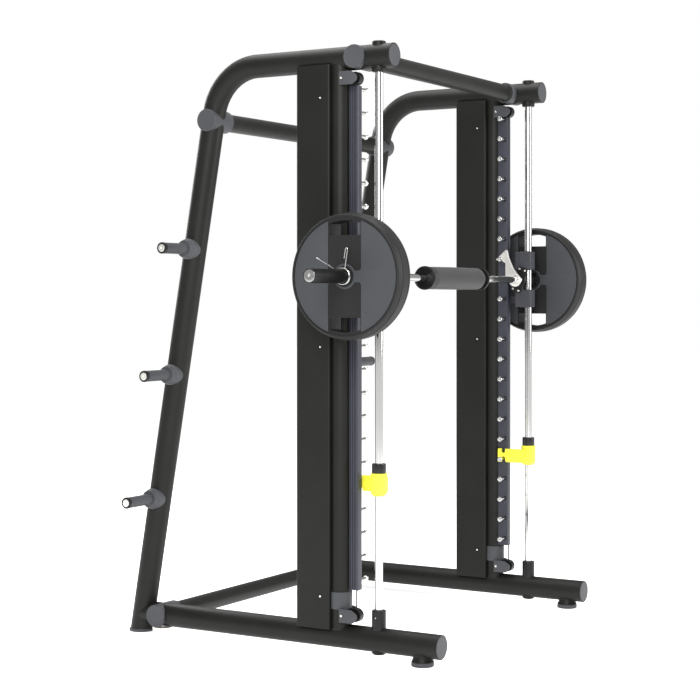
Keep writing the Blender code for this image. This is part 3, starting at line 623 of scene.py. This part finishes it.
def make_pulley(side, tag, level):
    at, half, groove, rim, bore = centre(f"pulley_{level}_{tag}"), 0.008, 0.0172, 0.0240, 0.0040
    points = [(bore, -half), (rim, -half), (rim, -0.005), (groove, -0.0025, 0.002), (groove, 0.0025, 0.002),
              (rim, 0.005), (rim, half), (bore, half)]
    made = ring(rounded(points, 0.0006, closed=True), at, (1, 0, 0))
    piece(f"pulley_wheel_{level}_{tag}", made, NYLON, f"pulley_{level}_{tag}", "black_nylon",
          f"pulley_{level}_{tag}")


def make_cable(side, tag):
    top, bottom, reach = centre("pulley_top_" + tag), centre("pulley_bottom_" + tag), 0.020
    route = arc((top.y, top.z), reach, 180, 0, 24) + arc((bottom.y, bottom.z), reach, 0, -180, 24)
    made = sweep([(side * HALF, y, z) for y, z in route], 0.0025, 16, closed=True)
    piece("cable_loop_" + tag, made, SHEATH, "frame", "cable", "counter_cable_" + tag)


# ---------------------------------------------------------------- bar, carriages, plates


def make_carriage(side, tag):
    plane, body, slot = side * HALF, "carriage", "carriage_coat"
    half, front, back = 0.023, ROD_Y - 0.021, ROD_Y + 0.033
    upper = block((plane - half, front, BAR_Z + 0.042), (plane + half, back, BAR_Z + 0.1195), 0.004, 4)
    lower = block((plane - half, front, BAR_Z - 0.1165), (plane + half, back, BAR_Z - 0.042), 0.004, 4)
    web = block((plane - half + 0.001, ROD_Y + 0.0164, BAR_Z - 0.1150),
                (plane + half - 0.001, ROD_Y + 0.052, BAR_Z + 0.1180), 0.003, 3)
    arm = block((out(side, 0.008), back - 0.004, BAR_Z - 0.100),
                (out(side, 0.018), ROD_Y + 0.0985, BAR_Z - 0.070), 0.0015)
    clamp = block((out(side, 0.0028), ROD_Y + 0.0897, BAR_Z - 0.096),
                  (out(side, 0.018), ROD_Y + 0.0965, BAR_Z - 0.074), 0.001)
    piece("carriage_blocks_" + tag, join(upper, lower, web, arm, clamp), BLOCK, body, slot, "carriage_" + tag)
    lean, inner = radians(20), out(side, -0.022)

    def tilted(across, along):
        """A point of the flange, given across and along its length, which leans forward at the top."""
        return (BAR_Y - across * cos(lean) - along * sin(lean),
                BAR_Z + along * cos(lean) - across * sin(lean))

    corners = [tilted(a, b) for a, b in ((-0.024, -0.055), (0.024, -0.055), (0.024, 0.055), (-0.024, 0.055))]
    plate = slab([rounded([(*c, 0.014) for c in corners], 0, 6, closed=True)], inner, out(side, -0.0285),
                 0.001)
    bush = lathe(rounded([(0, 0.020), (0.0285, 0.020), (0.0285, 0.0305), (0, 0.0305)], 0.0015),
                 (plane, BAR_Y, BAR_Z), (-side, 0, 0))
    far_bush = lathe(rounded([(0, 0.020), (0.0290, 0.020), (0.0290, 0.030), (0, 0.030)], 0.0015),
                     (plane, BAR_Y, BAR_Z), (side, 0, 0))
    piece("bearing_flange_" + tag, join(plate, bush, far_bush), NYLON, body, "black_nylon")
    heads = []
    for across, along in ((-0.0135, -0.045), (0.0135, -0.045), (-0.0135, 0.045), (0.0135, 0.045)):
        y, z = tilted(across, along)
        heads.append(screw((out(side, -0.0283), y, z), (-side, 0, 0), 0.0042))
    piece("flange_screws_" + tag, join(*heads), STEEL, body, "plated_steel")
    seals = [
        ring(rounded([(ROD_R + 0.0004, z), (0.0195, z), (0.0195, z + way * 0.0015),
                      (ROD_R + 0.0004, z + way * 0.0015)],
                     0.0003, closed=True), (plane, ROD_Y, 0), (0, 0, 1))
        for z, way in ((BAR_Z + 0.1195, 1), (BAR_Z + 0.042, -1), (BAR_Z - 0.042, 1), (BAR_Z - 0.1165, -1))
    ]
    piece("rod_seals_" + tag, join(*seals), NYLON, body, "black_nylon")


def make_bar():
    ends = HALF + SLEEVE_START + 0.002
    piece("bar_shaft", rod(BAR_R, (-ends, BAR_Y, BAR_Z), (ends, BAR_Y, BAR_Z), 0.0), CHROME, "bar", "chrome",
          "bar")
    for side, tag in ((-1, "left"), (1, "right")):
        origin, axis = (side * HALF, BAR_Y, BAR_Z), (side, 0, 0)
        sleeve = rounded([
            (0, SLEEVE_START), (SLEEVE_R, SLEEVE_START), (SLEEVE_R, 0.090, 0), (0.036, 0.090),
            (0.036, 0.1035),
            (SLEEVE_R, 0.1035, 0), (SLEEVE_R, SLEEVE_END, 0.0025), (0.0222, SLEEVE_END, 0.0006),
            (0.0222, SLEEVE_END - 0.004, 0), (0, SLEEVE_END - 0.004),
        ], 0.0015)
        piece("sleeve_" + tag, lathe(sleeve, origin, axis), NYLON, "bar", "black_nylon")
        disc = rounded([(0, SLEEVE_END - 0.005), (0.0218, SLEEVE_END - 0.005), (0.0218, SLEEVE_END, 0.0015),
                        (0.0040, SLEEVE_END, 0.0006), (0.0030, SLEEVE_END - 0.0020, 0.0005),
                        (0, SLEEVE_END - 0.0025)], 0)
        piece("sleeve_disc_" + tag, lathe(disc, origin, axis), CHROME, "bar", "chrome")


def make_pad():
    """The foam sleeve: slightly crowned along its length, with chamfered rings closing its ends."""
    low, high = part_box("squat_pad")
    half, radius, ring_t, taper, steps = high.x, (high.y - low.y) / 2, 0.010, 0.030, 24
    reach, bore = half - ring_t - taper, BAR_R + 0.0003
    crown = [(radius - 0.0008 * (2 * i / steps - 1) ** 2, reach * (1 - 2 * i / steps))
             for i in range(steps + 1)]
    ends = [(bore, reach + taper), (radius - 0.013, reach + taper)]
    outline = [*ends, *crown, *[(r, -x) for r, x in reversed(ends)]]
    body = ring(outline, (0, BAR_Y, BAR_Z), (1, 0, 0))
    pad = piece("foam_pad", body, FOAM, "bar", "pad_foam", "squat_pad")
    for side, tag in ((-1, "left"), (1, "right")):
        outline = rounded([(bore, half - ring_t), (radius + 0.0015, half - ring_t),
                           (radius + 0.0015, half - 0.001),
                           (radius - 0.003, half), (radius - 0.005, half - 0.0015), (bore, half - 0.0015)],
                          0.0012, closed=True)
        piece("pad_ring_" + tag, ring(outline, (0, BAR_Y, BAR_Z), (side, 0, 0)), NYLON, "bar", "black_nylon")


def make_hook(side, tag):
    def at(back, up, radius=0.0015):
        return BAR_Y + back, BAR_Z + up, radius

    peg_back, peg_up, seat_r = PEG_Y - BAR_Y, 0.0875, 0.0078
    outline = [at(0.0885, 0.0855), at(0.0430, 0.1265, 0.004), at(0.0360, 0.1255, 0.004),
               at(0.0290, 0.0950, 0.006),
               at(0.0036, 0.0395, 0.012), at(-0.0290, 0.0040, 0.004), at(-0.0310, 0.0, 0.002),
               at(-0.0285, -0.0050)]
    outline += sharp(arc((BAR_Y, BAR_Z), 0.029, -130, -10, 24))
    outline += [at(0.0400, 0.0080, 0.003), at(0.0438, 0.0157, 0.004), at(0.0438, 0.0700, 0.002)]
    outline += [at(peg_back - seat_r, 0.0800, 0.001)]
    outline += sharp(arc((BAR_Y + peg_back, BAR_Z + peg_up), seat_r, 180, 35, 18))
    outline += [at(0.0850, 0.0830)]
    hole = arc((BAR_Y, BAR_Z), BAR_R, 0, -360, 48)[:-1]
    low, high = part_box("hook_" + tag)
    plate = slab([rounded(outline, 0.0015, 4, closed=True), hole], low.x, high.x, 0.0009)
    piece("hook_plate_" + tag, plate, STEEL, "bar", "plated_steel", "hook_" + tag)
    collar = ring(rounded([(BAR_R, 0.0695), (0.0185, 0.0695), (0.0165, 0.0790), (BAR_R, 0.0790)], 0.0008,
                          closed=True),
                  (side * HALF, BAR_Y, BAR_Z), (-side, 0, 0))
    piece("hook_collar_" + tag, collar, CHROME, "bar", "chrome")


def make_plate(side, tag):
    middle = (PLATE_NEAR + PLATE_FAR) / 2
    half, recess, bore = (PLATE_FAR - PLATE_NEAR) / 2, 0.0045, SLEEVE_R + 0.0006
    face = [(bore, half - recess), (INSERT_R, half - recess, 0.001), (INSERT_R + 0.0015, half, 0.001),
            (PLATE_R - 0.0085, half, 0.004), (PLATE_R - 0.0008, half - 0.0195, 0.003),
            (PLATE_R - 0.0030, half - 0.0215, 0.001), (PLATE_R - 0.0030, half - 0.0235, 0.001),
            (PLATE_R, half - 0.0255, 0.002)]
    profile = [*face, *[(p[0], -p[1], *p[2:]) for p in reversed(face)]]
    profile[0] = (bore, half - recess, 0.001)
    at = Vector((out(side, middle), BAR_Y, BAR_Z))
    body = ring(rounded(profile, 0, 5, closed=True), at, (1, 0, 0), 160)
    reach, low, width = 0.197, 0.145, BAND_HALF - 0.004
    angle = asin(width / reach) * 180 / pi
    windows = []
    for up in (1, -1):
        top = arc((0, 0), reach, 90 - angle, 90 + angle, 16)
        outline = rounded([(width, low, 0.004), *[(y, z, 0) for y, z in top], (-width, low, 0.004)], 0, 4,
                          closed=True)
        windows.append(slab([[(BAR_Y + y, BAR_Z + up * z) for y, z in outline]], at.x - 0.06, at.x + 0.06,
                            0.0))
    piece("plate_body_" + tag, cut(body, *windows), RUBBER, "plate_" + tag, "plate_rubber",
          "weight_plate_" + tag)
    reach_angle = acos(BAND_HALF / INSERT_R) * 180 / pi
    neck, ring_r = 0.0205, 0.0450
    ring_angle = asin(neck / ring_r) * 180 / pi
    outline = []
    for way in (1, -1):
        right = sharp(arc((0, 0), INSERT_R - 0.0012, -reach_angle, reach_angle, 48))
        right += [(BAND_HALF, neck, 0.013), (ring_r * cos(radians(ring_angle)), neck, 0.004)]
        right += sharp(arc((0, 0), ring_r, ring_angle + 12, 168 - ring_angle, 20))
        right += [(-ring_r * cos(radians(ring_angle)), neck, 0.004)]
        outline += [(way * y, way * z, r) for y, z, r in right]
        outline.append((-way * BAND_HALF, way * neck, 0.013))
    shape = [(BAR_Y + y, BAR_Z + z) for y, z in rounded(outline, 0, 8, closed=True)]
    hole = arc((BAR_Y, BAR_Z), 0.0365, 0, -360, 64)[:-1]
    faces = []
    for way in (1, -1):
        surface_x = at.x + way * (half - recess)
        faces.append(slab([shape, hole], surface_x - way * 0.002, surface_x + way * 0.0022, 0.0006))
    piece("plate_inserts_" + tag, join(*faces), INSERT, "plate_" + tag, "slate_plastic")
    hub = [
        ring(rounded([(bore, half - recess - 0.001), (0.0345, half - recess - 0.001), (0.0345, half - 0.0015),
                      (bore, half - 0.0015)], 0.0008, closed=True), at, (way, 0, 0))
        for way in (1, -1)
    ]
    piece("plate_hub_" + tag, join(*hub), RUBBER, "plate_" + tag, "plate_rubber")


def make_clip(side, tag):
    """The wire collar: a coil round the sleeve, one straight lever and one lever of doubled wire."""
    wire, coil, turns, per_turn, pitch = 0.0021, SLEEVE_R + 0.0031, 2.15, 48, 0.0056
    start_x = out(side, PLATE_FAR + wire + 0.0006)

    def on_coil(step):
        angle = radians(100) - 2 * pi * step / per_turn
        return Vector((start_x + side * pitch * step / per_turn, BAR_Y + coil * cos(angle),
                       BAR_Z + coil * sin(angle)))

    def lever(base, lean, length, steps=8):
        away = Vector((0, base.y - BAR_Y, base.z - BAR_Z)).normalized()
        direction = (away + Vector((side * lean, 0, 0))).normalized()
        return [base + direction * length * (i + 1) / steps for i in range(steps)]

    points = [on_coil(i) for i in range(round(turns * per_turn) + 1)]
    first, last = lever(points[0], 0.02, 0.069), lever(points[-1], 1.2, 0.0915)
    tip, gap = first[-1], Vector((0, 0.0085, 0.0010))
    ahead = (first[-1] - first[-2]).normalized() * 0.003
    loop = [tip + gap * (1 - cos(pi * i / 6)) / 2 + ahead * sin(pi * i / 6) for i in range(1, 7)]
    doubled = [point + gap for point in reversed(first[3:])]
    path = [*reversed(doubled), *reversed(loop), *reversed(first), *points, *last]
    piece("wire_clip_" + tag, sweep(path, wire, 14), CHROME, "clip_" + tag, "plated_steel",
          "spring_clip_" + tag)


# ---------------------------------------------------------------- stops


def make_stop(side, tag):
    plane, body = side * HALF, "stop_" + tag
    low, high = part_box("safety_stop_" + tag)
    radius, bore = 0.030, ROD_R + 0.0004
    outline = [(bore, low.z), (0.020, low.z, 0.003), (radius, low.z + 0.009, 0.008), (radius, high.z, 0.003),
               (bore, high.z)]
    sleeve = ring(rounded(outline, 0.0008, 6, closed=True), (plane, ROD_Y, 0), (0, 0, 1))
    arm_low, arm_high, seat = STOP_Z - 0.014, STOP_Z + 0.043, 0.0085
    tip = ROD_Y + 0.1235
    shape = [(ROD_Y - 0.015, arm_low, 0.004), (PEG_Y - seat - 0.004, arm_low, 0.003)]
    shape += sharp(arc((PEG_Y, STOP_Z), seat, 180, 0, 16))
    shape += [(PEG_Y + seat, arm_low, 0.002), (tip, arm_low, 0.003), (tip, arm_high, 0.004),
              (PEG_Y + seat, arm_high, 0.003)]
    shape += sharp(arc((PEG_Y, arm_high - 0.010), seat, 0, -180, 16))
    shape += [(PEG_Y - seat, arm_high, 0.003), (ROD_Y - 0.015, arm_high, 0.006)]
    arm = slab([rounded(shape, 0, 4, closed=True)], out(side, -0.031), out(side, -0.043), 0.0016)
    boss = block((out(side, -0.012), ROD_Y - 0.0190, arm_low + 0.001),
                 (out(side, -0.033), ROD_Y + 0.0190, arm_high - 0.001), 0.004)
    bored = cut(boss, rod(bore, (plane, ROD_Y, low.z - 0.02), (plane, ROD_Y, high.z + 0.02), 0.0))
    piece("stop_casting_" + tag, join(sleeve, arm, bored), YELLOW, body, "yellow_coat", "safety_stop_" + tag)
    low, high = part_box("stop_bumper_" + tag)
    shape = [(bore, low.z), (0.0257, low.z, 0.001), (0.0257, high.z, 0.003), (bore, high.z)]
    bumper = ring(rounded(shape, 0.0008, 5, closed=True), (plane, ROD_Y, 0), (0, 0, 1))
    piece("rubber_bumper_" + tag, bumper, BUMPER, body, "bumper_rubber", "stop_bumper_" + tag)


for side, tag in ((-1, "left"), (1, "right")):
    make_frame_tube(side, tag)
    make_base_rail(side, tag)
    make_end_cap("top_end_cap_" + tag, side, TOP_FRONT_Y, TOP_Z)
    make_end_cap("rail_end_cap_" + tag, side, FRONT_Y, RAIL_Z)
    for where in HUBS:
        make_hub(where, side, tag)
    make_cover(side, tag)
    make_post(side, tag)
    make_rack(side, tag)
    make_rod_and_socket(side, tag)
    make_feet(side, tag)
    make_leveller(side, tag)
    for number in (1, 2, 3):
        make_horn(side, tag, number)
    for level in ("bottom", "top"):
        make_bracket(side, tag, level)
        make_pulley(side, tag, level)
    make_cable(side, tag)
    make_carriage(side, tag)
    make_hook(side, tag)
    make_plate(side, tag)
    make_clip(side, tag)
    make_stop(side, tag)
    weight = frame["nodes"]["counterweight_" + tag]
    weight.data.materials.clear()
    weight.data.materials.append(IRON)
for where in HUBS:
    make_cross_tube(where)
make_bar()
make_pad()


# ---------------------------------------------------------------- stage, light and camera


def make_stage():
    floor_mesh = bpy.data.meshes.new("floor")
    reach = 30.0
    corners = [(-reach, -reach, 0), (reach, -reach, 0), (reach, reach, 0), (-reach, reach, 0)]
    floor_mesh.from_pydata(corners, [], [(0, 1, 2, 3)])
    floor = bpy.data.objects.new("floor", floor_mesh)
    bpy.context.scene.collection.objects.link(floor)
    pale = surface("pale_floor", (0.90, 0.90, 0.90), 0.80, grain=20, depth=0.0, mottle=0.01, specular=0.1)
    pale.node_tree.nodes["Principled BSDF"].inputs["Emission Color"].default_value = (1, 1, 1, 1)
    pale.node_tree.nodes["Principled BSDF"].inputs["Emission Strength"].default_value = 0.62
    floor_mesh.materials.append(pale)


def make_light(name, at, target, size, power):
    light = bpy.data.lights.new(name, "AREA")
    light.shape = "RECTANGLE"
    light.size, light.size_y = size
    light.energy = power
    holder = bpy.data.objects.new(name, light)
    holder.location = at
    holder.rotation_euler = (Vector(at) - Vector(target)).to_track_quat("Z", "Y").to_euler()
    bpy.context.scene.collection.objects.link(holder)


def make_world():
    """White behind the object, and a softer grey for its light and reflections."""
    world = bpy.data.worlds.new("studio")
    bpy.context.scene.world = world
    world.use_nodes = True
    tree = world.node_tree
    behind, around = tree.nodes["Background"], tree.nodes.new("ShaderNodeBackground")
    behind.inputs["Color"].default_value = (1.0, 1.0, 1.0, 1.0)
    behind.inputs["Strength"].default_value = 1.0
    around.inputs["Color"].default_value = (1.0, 1.0, 1.0, 1.0)
    around.inputs["Strength"].default_value = 0.50
    path, choose = tree.nodes.new("ShaderNodeLightPath"), tree.nodes.new("ShaderNodeMixShader")
    tree.links.new(path.outputs["Is Camera Ray"], choose.inputs["Fac"])
    tree.links.new(around.outputs["Background"], choose.inputs[1])
    tree.links.new(behind.outputs["Background"], choose.inputs[2])
    tree.links.new(choose.outputs["Shader"], tree.nodes["World Output"].inputs["Surface"])


def make_camera():
    data = bpy.data.cameras.new("camera")
    data.sensor_width = 36.0
    data.lens = 85.4
    data.shift_x, data.shift_y = -0.012, -0.078
    camera = bpy.data.objects.new("camera", data)
    azimuth = radians(30.47)
    camera.location = (-5.815, ROD_Y - 2.959, 1.310)
    camera.rotation_euler = Vector((-cos(azimuth), -sin(azimuth), 0)).to_track_quat("Z", "Y").to_euler()
    bpy.context.scene.collection.objects.link(camera)
    bpy.context.scene.camera = camera


make_stage()
make_world()
make_light("key", (-4.5, -2.0, 3.2), (0, 0, 1.1), (1.6, 3.4), 190)
make_light("front", (1.5, -5.0, 2.6), (0, 0, 1.1), (1.6, 3.4), 190)
make_light("top", (0, 0.5, 5.0), (0, 0, 0), (4.0, 4.0), 200)
make_light("back", (1.5, 4.5, 3.0), (0, 0, 1.1), (3.0, 3.0), 120)
make_camera()
bpy.context.scene.view_settings.view_transform = "Standard"
